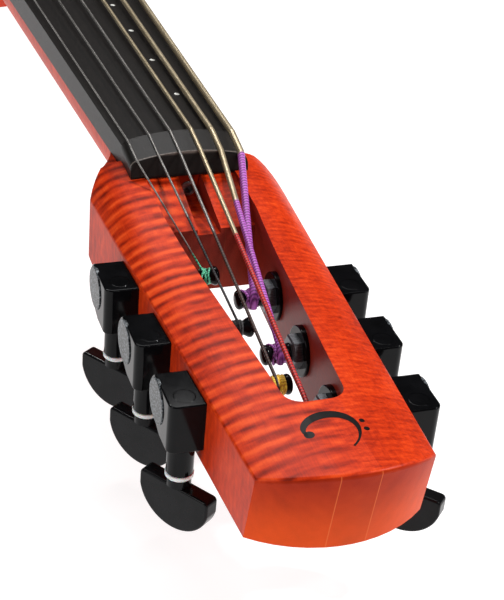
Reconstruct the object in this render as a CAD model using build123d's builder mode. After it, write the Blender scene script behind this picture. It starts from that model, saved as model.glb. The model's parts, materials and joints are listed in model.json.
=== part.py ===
from build123d import *
import math
import os

# Six-string electric upright bass, lying on its back.
# X runs across the strings, from the treble side (-X) to the bass side (+X).
# +Y runs from the head towards the endpin, +Z points out of the strings.
# The origin is under the middle of the instrument, on the plane of the body's back.
# Lengths are in millimetres.

os.makedirs("parts", exist_ok=True)

# ---------------------------------------------------------------- strings and scale
STRING_COUNT = 6
SCALE_LENGTH = 870.0  # nut to bridge
STRING_HEIGHT = 125.0  # middle strings above the body's back
STRING_SPACING = 10.08  # between string centres at the nut
STRING_FAN = 0.00098  # growth of the spacing for each millimetre of length
STRING_ARCH_RADIUS = 101.7  # arch of the six strings across the neck
STRING_RADII = (0.42, 0.55, 0.70, 1.05, 1.35, 1.65)
STRING_SLOT_CLEARANCE = 0.05

# ---------------------------------------------------------------- head
HEAD_TILT = 2.2  # head leans back from the line of the strings, degrees
HEAD_END_HALF_WIDTH = 35.1
HEAD_TAPER = 0.0516  # growth of the half width for each millimetre towards the neck
HEAD_SHOULDER_Y = 205.8  # from the end corners of the head
HEAD_DEPTH = 30.5  # side top edge to the flat back
HEAD_END_BULGE = 14.8
HEAD_END_UNDERCUT = 5.0
HEAD_EDGE_RADIUS = 1.6
NUT_LINE_Y = 220.5  # where the strings break over the nut, from the end corners
NUT_LINE_Z = 24.85  # above the head's side top edges
CENTRE_LAMINATION_HALF_WIDTH = 7.8

# ---------------------------------------------------------------- string slot in the head
SLOT_END_Y = 29.8
SLOT_LEDGE_Y = 169.0
SLOT_HALF_WIDTH = 9.7
SLOT_TAPER = 0.07
SLOT_CORNER_RADIUS = 8.0
RAMP_TOP_Z = 10.9
RAMP_BOTTOM_Z = 1.1
RAMP_END_Y = 204.0
ROD_CHANNEL_HALF_WIDTH = 5.4
ROD_CHANNEL_DEPTH = 2.6  # below the ramp at the ledge
ROD_CHANNEL_END_Y = 204.6

# ---------------------------------------------------------------- nut, fingerboard, neck
NUT_LENGTH = 18.8
NUT_HALF_WIDTH = 28.0
NUT_FRONT_Y = 201.7
NUT_SEAT_Z = 11.0
NUT_FRONT_LEAN = 3.0
NUT_END_RADIUS = 4.5
FINGERBOARD_LENGTH = 700.0
FINGERBOARD_EDGE_THICKNESS = 11.3
FINGERBOARD_GAP_AT_NUT = 2.2
FINGERBOARD_GAP_AT_END = 7.5
NECK_FALL = 0.0165  # drop of the neck's top for each millimetre from the nut
NECK_DEPTH_AT_NUT = 28.0
NECK_DEPTH_AT_HEEL = 33.0
NECK_SIDE_INSET = 0.3
NECK_ROOT_STATION = -25.0  # the neck's shape starts inside the head
HEEL_CORNER_RADIUS = 12.0
NUT_TOP_FALL = 3.0  # the nut's top falls this much from its back to its front edge
NUT_BREAK_STATION = -15.8  # front top edge of the nut
NUT_FRONT_HEIGHT = 11.2
STRING_PROUD_OF_NUT = 0.25  # string centres above the nut's top
NUT_BEND = 5.0
BRIDGE_BEND = 4.0
STRING_TAIL_BELOW_POST = 2.0
DOT_RADIUS = 1.35
DOT_X = 12.3
DOT_COUNT = 12  # one for each semitone
DOT_DEPTH = 2.0

# ---------------------------------------------------------------- truss rod
ROD_RADIUS = 3.2
ROD_LENGTH = 460.0
ROD_DROP = 22.4  # axis below the middle strings
ROD_NUT_RADIUS = 3.6
ROD_NUT_LENGTH = 9.0
ROD_SOCKET_WIDTH = 4.0
ROD_NUT_STATION = -16.6

# ---------------------------------------------------------------- tuning machines
TUNER_PITCH = 42.0
TUNER_STANDOFF = 6.6  # worm axis from the side of the head
TUNER_FIRST_Y = {"left": 138.3, "right": 117.3}
POST_AXIS_DEPTH = 11.0  # below the head's side top edges
POST_AXIS_OFFSET = 11.2  # worm axis to post axis, the gear centre distance
HOUSING_TOP = 9.2  # above the post axis
HOUSING_FRONT = 6.8
HOUSING_OUTER = 7.4
HOUSING_GEAR_RADIUS = 10.4
HOUSING_COLUMN_BOTTOM = 13.0  # below the post axis
HOUSING_CORNER_RADIUS = 3.6
STEM_RADIUS = 5.5
STEM_BOTTOM = 26.3
COVER_RADIUS = 9.4
COVER_DEPTH = 1.4
COVER_PROUD = 0.5
PLUG_RADIUS = 4.35
PLUG_THICKNESS = 1.8
STEM_WASHER_RADIUS = 5.8
STEM_WASHER_THICKNESS = 1.9
BUTTON_TOP = 32.6
BUTTON_LENGTH = 34.0
BUTTON_THICKNESS = 7.0
BUTTON_HEIGHT = 21.0
BUTTON_STRAIGHT_END = 7.0
BUTTON_NECK_RADIUS = 5.0
BUTTON_ANGLE = {"left": -55.0, "right": -46.0}
SHAFT_RADIUS = 2.6
SHAFT_END = 41.0  # depth of the shaft's end, inside the button
RUNNING_CLEARANCE = 0.05

# ---------------------------------------------------------------- worm gear
WHEEL_TEETH = 18
WHEEL_PITCH_RADIUS = 8.0
WHEEL_ADDENDUM = 0.72
WHEEL_DEDENDUM = 1.0
WHEEL_WIDTH = 3.6
WHEEL_TOOTH_TIP = 0.55
WHEEL_TOOTH_ROOT = 1.25
WORM_ROOT_RADIUS = 2.2
WORM_TIP_RADIUS = 3.95
WORM_HALF_LENGTH = 5.0
WORM_THREAD_TIP = 0.55
WORM_THREAD_ROOT = 1.35
GEAR_ROOM = 0.4

# ---------------------------------------------------------------- string posts
POST_REACH = 48.0  # worm axis to the tip of the post
POST_RADIUS = 4.0
POST_JOURNAL_RADIUS = 3.0
POST_WAIST_RADIUS = 2.7
POST_TIP_RADIUS = 4.15
WINDING_FROM_TIP = 7.0
POST_OUTER_END = 5.2
STRING_HOLE_RADIUS = 1.0
BUSHING_RADIUS = 6.2
BUSHING_SEAT = 2.0  # into the housing
WASHER_RADIUS = 10.8
WASHER_THICKNESS = 2.2
HEX_FLATS = 13.0
HEX_THICKNESS = 4.0
WINDING_GAP = 0.35

# ---------------------------------------------------------------- body
BODY_START = 520.0  # stations are measured from the nut line towards the endpin
BODY_END = SCALE_LENGTH + 175.0
BODY_CORE_THICKNESS = 48.0
BODY_TOP_THICKNESS = 11.0
BODY_EDGE_RADIUS = 5.0
BODY_WIDTH_UPPER = 124.0
BODY_WIDTH_WAIST = 112.0
BODY_WIDTH_LOWER = 214.0
HEEL_START = 536.0
HEEL_END = 650.0
HEEL_HALF_WIDTH = 30.0
CAVITY_START = 680.0
CAVITY_END = SCALE_LENGTH - 40.0
CAVITY_HALF_WIDTH = 42.0
CAVITY_DEPTH = 30.0

# ---------------------------------------------------------------- bridge, tailpiece, controls
BRIDGE_THICKNESS_TOP = 5.0
BRIDGE_THICKNESS_FOOT = 16.0
BRIDGE_FOOT_HALF_SPAN = 56.0
BRIDGE_TOP_MARGIN = 9.0
PICKUP_LENGTH = 70.0
PICKUP_WIDTH = 4.0
PICKUP_HEIGHT = 2.5
TAILPIECE_STATION = SCALE_LENGTH + 85.0
TAILPIECE_LENGTH = 34.0
TAILPIECE_HALF_WIDTH = 58.0
TAILPIECE_HEIGHT = 30.0
STRING_ANCHOR_Z = 76.0
KNOB_RADIUS = 10.0
KNOB_HEIGHT = 15.0
KNOB_X = 78.0
KNOB_STATIONS = {"volume_knob": SCALE_LENGTH + 45.0, "tone_knob": SCALE_LENGTH + 80.0}
KNOB_GAP = 0.4
KNOB_SHAFT_RADIUS = 3.0
KNOB_SHAFT_DEPTH = 9.0  # into the core
PICKUP_RISE = 14.0
JACK_STATION = SCALE_LENGTH + 115.0
JACK_PLATE_RADIUS = 14.0
JACK_BORE_RADIUS = 3.25
JACK_BORE_DEPTH = 28.0
JACK_Z = 26.0
JACK_RECESS = 12.0
JACK_PLATE_THICKNESS = 3.0
JACK_BARREL_RADIUS = 6.0
COLLAR_RADIUS = 15.0
COLLAR_LENGTH = 20.0
COLLAR_SEAT = 4.0
ENDPIN_RADIUS = 5.0
ENDPIN_LENGTH = 230.0
ENDPIN_TIP = 20.0
ENDPIN_Z = 26.0
ENDPIN_CLEARANCE = 0.1
SCREW_RADIUS = 2.5
SCREW_HEAD_RADIUS = 7.5
SCREW_HEAD_HEIGHT = 8.0
SCREW_TIP_GAP = 0.4

# ---------------------------------------------------------------- frames
BODY_SURFACE_Z = BODY_CORE_THICKNESS + BODY_TOP_THICKNESS
TILT = math.radians(HEAD_TILT)
HEAD_FRONT_REACH = NUT_LINE_Y * math.cos(TILT) - NUT_LINE_Z * math.sin(TILT)
HEAD_DROP = NUT_LINE_Y * math.sin(TILT) + NUT_LINE_Z * math.cos(TILT)
FRONT_STATION = -(HEAD_FRONT_REACH + HEAD_END_BULGE)
REAR_STATION = BODY_END + COLLAR_LENGTH + ENDPIN_TIP
NUT_Y = -(FRONT_STATION + REAR_STATION) / 2
ROD_AXIS_Z = STRING_HEIGHT - ROD_DROP

HEAD = Plane(
    origin=(0, NUT_Y - HEAD_FRONT_REACH, STRING_HEIGHT - HEAD_DROP),
    x_dir=(1, 0, 0),
    z_dir=(0, -math.sin(TILT), math.cos(TILT)),
)


def head_point(x, y, z):
    """A point of the head's frame as a point of the instrument's frame."""
    return HEAD.from_local_coords(Vector(x, y, z))


def on_head(x=0.0, y=0.0, z=0.0, x_dir=(1, 0, 0), z_dir=(0, 0, 1)):
    """A plane given in the head's own frame, whose origin is at its front end."""
    turned = [HEAD.from_local_coords(Vector(*v)) - HEAD.origin for v in (x_dir, z_dir)]
    return Plane(origin=head_point(x, y, z), x_dir=turned[0], z_dir=turned[1])


def head_half_width(y):
    return HEAD_END_HALF_WIDTH + HEAD_TAPER * y


def slot_half_width(y):
    return SLOT_HALF_WIDTH + SLOT_TAPER * y


def string_x(index, station):
    """Sideways place of a string at a station along its length."""
    at_nut = (index - (STRING_COUNT - 1) / 2) * STRING_SPACING
    return at_nut * (1 + STRING_FAN * station)


def string_z(index):
    """Height of a string, which keeps its place on the arch along the neck."""
    at_nut = string_x(index, 0)
    return STRING_HEIGHT - at_nut**2 / (2 * STRING_ARCH_RADIUS)


def fingerboard_half_width(station):
    return (NUT_HALF_WIDTH - 0.3) * (1 + STRING_FAN * station)


def finish(part, name):
    """Label a finished piece and write it."""
    part.label = name
    export_step(part, "parts/" + name + ".step")


# ================================================================ tuning machines
# Each machine is made once for the bass side in its own frame: the worm turns about Z,
# the post runs along X at y = POST_AXIS_OFFSET, z = 0, and +X points away from the head.
POST_PLANE = Plane(origin=(0, POST_AXIS_OFFSET, 0), x_dir=(0, 1, 0), z_dir=(1, 0, 0))
WORM_AXIAL_PITCH = 2 * math.pi * WHEEL_PITCH_RADIUS / WHEEL_TEETH
CAVITY_RADIUS = WHEEL_PITCH_RADIUS + WHEEL_ADDENDUM + GEAR_ROOM
PLUG_BOTTOM = HOUSING_TOP - PLUG_THICKNESS
WORM_BORE_RADIUS = PLUG_RADIUS
TOP_BEARING_Z = PLUG_BOTTOM
WORM_BORE_BOTTOM = -(WORM_HALF_LENGTH + GEAR_ROOM)
COVER_SEAT = HOUSING_OUTER - COVER_DEPTH + COVER_PROUD

column_foot = Vector(STEM_RADIUS + 0.6, -HOUSING_COLUMN_BOTTOM)
to_foot = column_foot - Vector(POST_AXIS_OFFSET, 0)
tangent_turn = math.degrees(math.acos(HOUSING_GEAR_RADIUS / to_foot.length))
drum_tangent = Vector(POST_AXIS_OFFSET, 0) + to_foot.normalized().rotate(
    Axis.Z, tangent_turn
) * HOUSING_GEAR_RADIUS

with BuildPart() as bass_housing:
    # the casting: gear drum, column over the worm and their common flat top
    with BuildSketch(Plane(origin=(-14, 0, 0), x_dir=(0, 1, 0), z_dir=(1, 0, 0))):
        with Locations((POST_AXIS_OFFSET, 0)):
            Circle(HOUSING_GEAR_RADIUS)
        with BuildLine():
            Polyline(
                (-HOUSING_FRONT, HOUSING_TOP),
                (-HOUSING_FRONT, -HOUSING_COLUMN_BOTTOM),
                column_foot,
                drum_tangent,
                (POST_AXIS_OFFSET, HOUSING_TOP),
                close=True,
            )
        make_face()
        with Locations((0, HOUSING_TOP + HOUSING_GEAR_RADIUS)):
            Rectangle(8 * HOUSING_GEAR_RADIUS, 2 * HOUSING_GEAR_RADIUS, mode=Mode.SUBTRACT)
    extrude(amount=14 + HOUSING_OUTER)
    # front outer corner over the worm
    column_corner = (
        bass_housing.edges().filter_by(Axis.Z).group_by(Axis.Y)[0].sort_by(Axis.X)[-1]
    )
    fillet(column_corner, HOUSING_CORNER_RADIUS)
    outer_edges = bass_housing.faces().sort_by(Axis.X)[-1].edges()
    front_edges = bass_housing.faces().sort_by(Axis.Z)[-1].edges().group_by(Axis.Y)[0]
    fillet(outer_edges + front_edges, 0.7)
    # stem around the button's shaft
    with Locations((0, 0, -HOUSING_COLUMN_BOTTOM)):
        Cylinder(
            STEM_RADIUS,
            STEM_BOTTOM - HOUSING_COLUMN_BOTTOM,
            align=(Align.CENTER, Align.CENTER, Align.MAX),
        )
    fillet(bass_housing.faces().sort_by(Axis.Z)[0].edges(), 0.5)
    # the face that seats on the slanting side of the head
    with BuildSketch(Plane.XY.offset(-STEM_BOTTOM - 1)):
        Polygon(
            (-TUNER_STANDOFF - 30 * HEAD_TAPER, -30),
            (-TUNER_STANDOFF + 30 * HEAD_TAPER, 30),
            (-30, 30),
            (-30, -30),
            align=None,
        )
    extrude(amount=STEM_BOTTOM + HOUSING_TOP + 2, mode=Mode.SUBTRACT)
    # bore of the worm from the top, and of its shaft down the stem
    with Locations((0, 0, HOUSING_TOP)):
        Cylinder(
            WORM_BORE_RADIUS,
            HOUSING_TOP - WORM_BORE_BOTTOM,
            align=(Align.CENTER, Align.CENTER, Align.MAX),
            mode=Mode.SUBTRACT,
        )
    with Locations((0, 0, -STEM_BOTTOM)):
        Cylinder(
            SHAFT_RADIUS + RUNNING_CLEARANCE,
            STEM_BOTTOM,
            align=(Align.CENTER, Align.CENTER, Align.MIN),
            mode=Mode.SUBTRACT,
        )
    # room for the wheel, opened from the cover's side, and the cover's seat
    wheel_room = WHEEL_WIDTH / 2 + GEAR_ROOM
    with BuildSketch(POST_PLANE.offset(-wheel_room)):
        Circle(CAVITY_RADIUS)
    extrude(amount=wheel_room + COVER_SEAT, mode=Mode.SUBTRACT)
    with BuildSketch(POST_PLANE.offset(COVER_SEAT)):
        Circle(COVER_RADIUS)
    extrude(amount=HOUSING_OUTER, mode=Mode.SUBTRACT)
    # bore of the post and the bushing's threaded seat
    with BuildSketch(POST_PLANE.offset(-20)):
        Circle(POST_RADIUS + RUNNING_CLEARANCE)
    extrude(amount=20, mode=Mode.SUBTRACT)
    with BuildSketch(POST_PLANE.offset(-20)):
        Circle(BUSHING_RADIUS)
    extrude(amount=20 - TUNER_STANDOFF + BUSHING_SEAT, mode=Mode.SUBTRACT)

with BuildPart() as treble_housing:
    add(bass_housing.part)
    mirror(about=Plane.YZ, mode=Mode.REPLACE)

with BuildPart() as worm_thread:
    with BuildLine() as worm_helix:
        Helix(
            pitch=WORM_AXIAL_PITCH,
            height=2 * WORM_HALF_LENGTH - WORM_THREAD_ROOT,
            radius=WORM_ROOT_RADIUS,
            center=(0, 0, -WORM_HALF_LENGTH + WORM_THREAD_ROOT / 2),
        )
    with BuildSketch(
        Plane(origin=worm_helix.line @ 0, x_dir=(1, 0, 0), z_dir=worm_helix.line % 0)
    ):
        thread_height = WORM_TIP_RADIUS - WORM_ROOT_RADIUS
        Polygon(
            (-0.4, -WORM_THREAD_ROOT / 2),
            (-0.4, WORM_THREAD_ROOT / 2),
            (thread_height, WORM_THREAD_TIP / 2),
            (thread_height, -WORM_THREAD_TIP / 2),
            align=None,
        )
    sweep(path=worm_helix.line, is_frenet=True)

with BuildPart() as worm_blank:
    # the worm's core, its top journal and the long shaft down to the button
    with BuildSketch(Plane.XZ):
        with BuildLine():
            Polyline(
                (0, TOP_BEARING_Z - 0.1),
                (SHAFT_RADIUS, TOP_BEARING_Z - 0.1),
                (SHAFT_RADIUS, WORM_HALF_LENGTH),
                (WORM_ROOT_RADIUS, WORM_HALF_LENGTH),
                (WORM_ROOT_RADIUS, -WORM_HALF_LENGTH),
                (SHAFT_RADIUS, -WORM_HALF_LENGTH),
                (SHAFT_RADIUS, -SHAFT_END),
                (0, -SHAFT_END),
                close=True,
            )
        make_face()
    revolve(axis=Axis.Z)
    # the thread's centre crosses the +Y side at half a pitch from the post's height
    rest_turn = 360 * (0.5 - (-WORM_HALF_LENGTH + WORM_THREAD_ROOT / 2) / WORM_AXIAL_PITCH)
    add(worm_thread.part.rotate(Axis.Z, 90 - rest_turn))

with BuildPart() as button_blank:
    with BuildSketch(Plane.XZ.offset(-BUTTON_THICKNESS / 2)):
        with BuildLine():
            Line((-BUTTON_LENGTH / 2, -BUTTON_TOP), (BUTTON_LENGTH / 2, -BUTTON_TOP))
            Line(
                (BUTTON_LENGTH / 2, -BUTTON_TOP),
                (BUTTON_LENGTH / 2, -BUTTON_TOP - BUTTON_STRAIGHT_END),
            )
            ThreePointArc(
                (BUTTON_LENGTH / 2, -BUTTON_TOP - BUTTON_STRAIGHT_END),
                (0, -BUTTON_TOP - BUTTON_HEIGHT),
                (-BUTTON_LENGTH / 2, -BUTTON_TOP - BUTTON_STRAIGHT_END),
            )
            Line(
                (-BUTTON_LENGTH / 2, -BUTTON_TOP - BUTTON_STRAIGHT_END),
                (-BUTTON_LENGTH / 2, -BUTTON_TOP),
            )
        make_face()
        fillet(vertices(), 2.0)
    extrude(amount=BUTTON_THICKNESS)
    fillet(button_blank.faces().filter_by(Axis.Y).edges(), 1.0)
    # round neck up to the washer
    neck_height = BUTTON_TOP - STEM_BOTTOM - STEM_WASHER_THICKNESS
    with Locations((0, 0, -BUTTON_TOP)):
        Cylinder(
            BUTTON_NECK_RADIUS,
            neck_height - RUNNING_CLEARANCE,
            align=(Align.CENTER, Align.CENTER, Align.MIN),
        )
    with Locations((0, 0, -SHAFT_END)):
        Cylinder(
            SHAFT_RADIUS,
            SHAFT_END,
            align=(Align.CENTER, Align.CENTER, Align.MIN),
            mode=Mode.SUBTRACT,
        )

with BuildPart() as wheel_blank:
    root_radius = WHEEL_PITCH_RADIUS - WHEEL_DEDENDUM
    tip_radius = WHEEL_PITCH_RADIUS + WHEEL_ADDENDUM
    with BuildSketch(POST_PLANE.offset(-WHEEL_WIDTH / 2)):
        Circle(root_radius)
        with BuildSketch(mode=Mode.PRIVATE) as tooth:
            Polygon(
                (root_radius - 0.4, -WHEEL_TOOTH_ROOT / 2),
                (tip_radius, -WHEEL_TOOTH_TIP / 2),
                (tip_radius, WHEEL_TOOTH_TIP / 2),
                (root_radius - 0.4, WHEEL_TOOTH_ROOT / 2),
                align=None,
            )
        with PolarLocations(0, WHEEL_TEETH):
            add(tooth.sketch)
        Circle(POST_JOURNAL_RADIUS, mode=Mode.SUBTRACT)
    extrude(amount=WHEEL_WIDTH)

with BuildPart() as bass_post:
    waist_x = -POST_REACH + WINDING_FROM_TIP
    shoulder_x = -(WHEEL_WIDTH / 2)
    with BuildSketch(Plane.XY):
        with BuildLine():
            Polyline(
                (-POST_REACH, 0),
                (POST_OUTER_END, 0),
                (POST_OUTER_END, POST_JOURNAL_RADIUS),
                (shoulder_x, POST_JOURNAL_RADIUS),
                (shoulder_x, POST_RADIUS),
                (waist_x + 5.0, POST_RADIUS),
            )
            Spline(
                (waist_x + 5.0, POST_RADIUS),
                (waist_x + 3.2, POST_WAIST_RADIUS + 0.5),
                (waist_x, POST_WAIST_RADIUS),
                (waist_x - 2.2, POST_WAIST_RADIUS + 0.25),
                (-POST_REACH + 2.4, POST_TIP_RADIUS),
                (-POST_REACH, 0),
                tangents=[(-1, 0), (0, -1)],
            )
        make_face()
    revolve(axis=Axis.X)
    with Locations(Location((waist_x, 0, 0))):
        Cylinder(STRING_HOLE_RADIUS, 4 * POST_RADIUS, mode=Mode.SUBTRACT)

with BuildPart() as treble_post:
    add(bass_post.part)
    mirror(about=Plane.YZ, mode=Mode.REPLACE)

POST_TO_AXIS = Location((0, POST_AXIS_OFFSET, 0))

machines = []
for side, sign in (("left", -1), ("right", 1)):
    for row in range(STRING_COUNT // 2):
        y = TUNER_FIRST_Y[side] - row * TUNER_PITCH
        machines.append(
            {
                "side": side,
                "sign": sign,
                "x": sign * (head_half_width(y) + TUNER_STANDOFF),
                "y": y,
            }
        )
# strings 1 to 3 go to the left machines from the nut outwards, 4 to 6 back up the right
machines[3:] = machines[:2:-1]

for number, machine in enumerate(machines, start=1):
    place = HEAD.location * Location((machine["x"], machine["y"], -POST_AXIS_DEPTH))
    is_left = machine["side"] == "left"
    housing = (treble_housing if is_left else bass_housing).part.moved(place)
    finish(housing, f"tuner_housing_{number}")
    finish(worm_blank.part.moved(place), f"worm_shaft_{number}")
    turned = place * Location((0, 0, 0), (0, 0, BUTTON_ANGLE[machine["side"]]))
    finish(button_blank.part.moved(turned), f"tuner_button_{number}")
    finish(wheel_blank.part.moved(place), f"worm_wheel_{number}")
    post = (treble_post if is_left else bass_post).part
    finish(post.moved(place * POST_TO_AXIS), f"string_post_{number}")

# ---------------------------------------------------------------- small pieces of the machines
with BuildPart() as cover_blank:
    with BuildSketch(POST_PLANE.offset(COVER_SEAT)):
        Circle(COVER_RADIUS)
    extrude(amount=COVER_DEPTH)
    fillet(cover_blank.faces().sort_by(Axis.X)[-1].edges(), 0.4)

with BuildPart() as plug_blank:
    with Locations((0, 0, PLUG_BOTTOM)):
        Cylinder(PLUG_RADIUS, PLUG_THICKNESS, align=(Align.CENTER, Align.CENTER, Align.MIN))
    fillet(plug_blank.faces().sort_by(Axis.Z)[-1].edges(), 0.35)

with BuildPart() as stem_washer_blank:
    with Locations((0, 0, -STEM_BOTTOM)):
        Cylinder(
            STEM_WASHER_RADIUS,
            STEM_WASHER_THICKNESS,
            align=(Align.CENTER, Align.CENTER, Align.MAX),
        )
    Cylinder(SHAFT_RADIUS + RUNNING_CLEARANCE, 4 * STEM_BOTTOM, mode=Mode.SUBTRACT)
    fillet(stem_washer_blank.faces().filter_by(Axis.Z).edges().group_by(SortBy.RADIUS)[-1], 0.4)


def wall_cutter_plane(machine):
    """The pocket's wall beside a post, facing the middle of the pocket."""
    sign = machine["sign"]
    wall_x = sign * slot_half_width(machine["y"] + POST_AXIS_OFFSET)
    return on_head(
        wall_x,
        machine["y"] + POST_AXIS_OFFSET,
        -POST_AXIS_DEPTH,
        x_dir=(sign * SLOT_TAPER, 1, 0),
        z_dir=(-sign, SLOT_TAPER, 0),
    )


washers, bushings = [], []
for machine in machines:
    sign = machine["sign"]
    wall = wall_cutter_plane(machine)
    wall_x = slot_half_width(machine["y"] + POST_AXIS_OFFSET)
    post_line = on_head(
        sign * wall_x,
        machine["y"] + POST_AXIS_OFFSET,
        -POST_AXIS_DEPTH,
        x_dir=(0, 1, 0),
        z_dir=(-sign, 0, 0),
    )
    wedge = WASHER_RADIUS * SLOT_TAPER
    with BuildPart() as washer:
        with BuildSketch(post_line.offset(-wedge)):
            Circle(WASHER_RADIUS)
        extrude(amount=WASHER_THICKNESS + wedge)
        inner_face = washer.faces().sort_by(Axis.X)[0 if sign > 0 else -1]
        fillet(inner_face.edges(), 0.5)
        with BuildSketch(post_line.offset(-2 * wedge)):
            Circle(BUSHING_RADIUS)
        extrude(amount=WASHER_THICKNESS + 3 * wedge, mode=Mode.SUBTRACT)
        with BuildSketch(wall):
            Rectangle(4 * WASHER_RADIUS, 4 * WASHER_RADIUS)
        extrude(amount=-3 * WASHER_RADIUS, mode=Mode.SUBTRACT)
    washers.append(washer.part)
    with BuildPart() as bushing:
        with BuildSketch(post_line.offset(WASHER_THICKNESS)):
            RegularPolygon(HEX_FLATS / 2, 6, major_radius=False)
        extrude(amount=HEX_THICKNESS)
        hex_face = bushing.faces().filter_by(Axis.X).sort_by(Axis.X)[0 if sign > 0 else -1]
        chamfer(hex_face.edges(), 0.6)
        seat_depth = abs(machine["x"]) - TUNER_STANDOFF - wall_x + BUSHING_SEAT
        with BuildSketch(post_line.offset(-seat_depth)):
            Circle(BUSHING_RADIUS)
        extrude(amount=seat_depth + WASHER_THICKNESS)
        with BuildSketch(post_line.offset(-seat_depth)):
            Circle(POST_RADIUS + RUNNING_CLEARANCE)
        extrude(amount=seat_depth + WASHER_THICKNESS + HEX_THICKNESS, mode=Mode.SUBTRACT)
    bushings.append(bushing.part)

covers, plugs, stem_washers = [], [], []
for machine in machines:
    place = HEAD.location * Location((machine["x"], machine["y"], -POST_AXIS_DEPTH))
    cover = cover_blank.part
    if machine["side"] == "left":
        cover = cover.mirror(Plane.YZ)
    covers.append(cover.moved(place))
    plugs.append(plug_blank.part.moved(place))
    stem_washers.append(stem_washer_blank.part.moved(place))

finish(Compound(children=covers), "gear_covers")
finish(Compound(children=plugs), "worm_plugs")
finish(Compound(children=stem_washers), "stem_washers")
finish(Compound(children=washers), "post_washers")
finish(Compound(children=bushings), "post_bushings")


# ================================================================ neck and head
NECK_TOP_AT_NUT = (
    STRING_HEIGHT
    - FINGERBOARD_GAP_AT_NUT
    - NUT_HALF_WIDTH**2 / (2 * STRING_ARCH_RADIUS)
    - FINGERBOARD_EDGE_THICKNESS
)
NUT_BACK_STATION = 0.8
NUT_FRONT_STATION = NUT_BACK_STATION - NUT_LENGTH
NUT_SEAT_HEIGHT = head_point(0, NUT_FRONT_Y, NUT_SEAT_Z).Z
NECK_BLEND_Y = NUT_LINE_Y + 20.0  # where the shoulders run into the neck
CROWN_CLEAR = 60.0


def neck_top(station):
    """Height of the face that carries the fingerboard."""
    return NECK_TOP_AT_NUT - NECK_FALL * station


def across(station, height=0.0):
    """A plane across the instrument at a station, X to the bass side and Y up."""
    return Plane(origin=(0, NUT_Y + station, height), x_dir=(1, 0, 0), z_dir=(0, -1, 0))


def along_rod(distance):
    """A plane across the truss rod, which runs parallel to the face under the fingerboard."""
    fall = NECK_FALL * distance
    return Plane(
        origin=(0, NUT_Y + ROD_NUT_STATION + distance, ROD_AXIS_Z - fall),
        x_dir=(1, 0, 0),
        z_dir=(0, -1, NECK_FALL),
    )


def smooth(t):
    t = min(max(t, 0.0), 1.0)
    return t * t * (3 - 2 * t)


def crown_height(x, y):
    """Top of the head above its side edges: domed at the end, a level table at the nut."""
    to_nut = smooth((y - 125.0) / (NUT_FRONT_Y - 125.0))
    past_nut = smooth((y - NUT_LINE_Y) / (NECK_BLEND_Y - NUT_LINE_Y))
    height = 7.4 + 4.3 * to_nut - 4.4 * past_nut
    power = 2.3 + 1.7 * smooth(y / 150.0) + 2.0 * to_nut
    reach = abs(x) / head_half_width(min(y, HEAD_SHOULDER_Y))
    return height * (1 - reach**power)


crown_points = [
    [head_point(x, y, crown_height(x, y)) for x in range(-51, 52, 6)]
    for y in (-30, -5, 20, 45, 70, 95, 120, 140, 160, 180, 202, 221, 232, 248)
]
crown_face = Face.make_surface_from_array_of_points(crown_points, tol=0.02)

with BuildPart() as slot_cutter:
    # the tapered opening the posts cross, running on over the ramp to the nut
    with BuildSketch(on_head(z=CROWN_CLEAR)):
        Polygon(
            (-slot_half_width(SLOT_END_Y), SLOT_END_Y),
            (slot_half_width(SLOT_END_Y), SLOT_END_Y),
            (slot_half_width(SLOT_LEDGE_Y), SLOT_LEDGE_Y),
            (slot_half_width(SLOT_LEDGE_Y), RAMP_END_Y),
            (-slot_half_width(SLOT_LEDGE_Y), RAMP_END_Y),
            (-slot_half_width(SLOT_LEDGE_Y), SLOT_LEDGE_Y),
            align=None,
        )
        fillet(vertices().group_by(Axis.Y)[0], SLOT_CORNER_RADIUS)
    extrude(amount=-(CROWN_CLEAR + HEAD_DEPTH + 5))
    # the wood of the ramp stays
    with BuildSketch(on_head(-60, x_dir=(0, 1, 0), z_dir=(1, 0, 0))):
        Polygon(
            (SLOT_LEDGE_Y, RAMP_BOTTOM_Z),
            (RAMP_END_Y + 1, RAMP_TOP_Z),
            (RAMP_END_Y + 1, -HEAD_DEPTH - 10),
            (SLOT_LEDGE_Y, -HEAD_DEPTH - 10),
            align=None,
        )
    extrude(amount=120, mode=Mode.SUBTRACT)
    # channel in the ramp that lets a key reach the truss rod's nut
    with BuildSketch(on_head(-ROD_CHANNEL_HALF_WIDTH, x_dir=(0, 1, 0), z_dir=(1, 0, 0))):
        Polygon(
            (SLOT_LEDGE_Y - 1, RAMP_BOTTOM_Z + 4),
            (ROD_CHANNEL_END_Y, RAMP_TOP_Z + 0.1),
            (ROD_CHANNEL_END_Y, RAMP_BOTTOM_Z - ROD_CHANNEL_DEPTH),
            (SLOT_LEDGE_Y - 1, RAMP_BOTTOM_Z - ROD_CHANNEL_DEPTH),
            align=None,
        )
    extrude(amount=2 * ROD_CHANNEL_HALF_WIDTH)


def neck_section(station):
    """Half ellipse of the neck, hanging from the face that carries the fingerboard."""
    half_width = fingerboard_half_width(station) - NECK_SIDE_INSET
    along = min(max(station / HEEL_END, 0.0), 1.0)
    depth = NECK_DEPTH_AT_NUT + (NECK_DEPTH_AT_HEEL - NECK_DEPTH_AT_NUT) * along
    with BuildSketch(across(station, neck_top(station))) as section:
        with BuildLine():
            EllipticalCenterArc(
                (0, 0), half_width, depth, start_angle=180, arc_size=180
            )
            Line((-half_width, 0), (half_width, 0))
        make_face()
    return section.sketch


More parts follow.
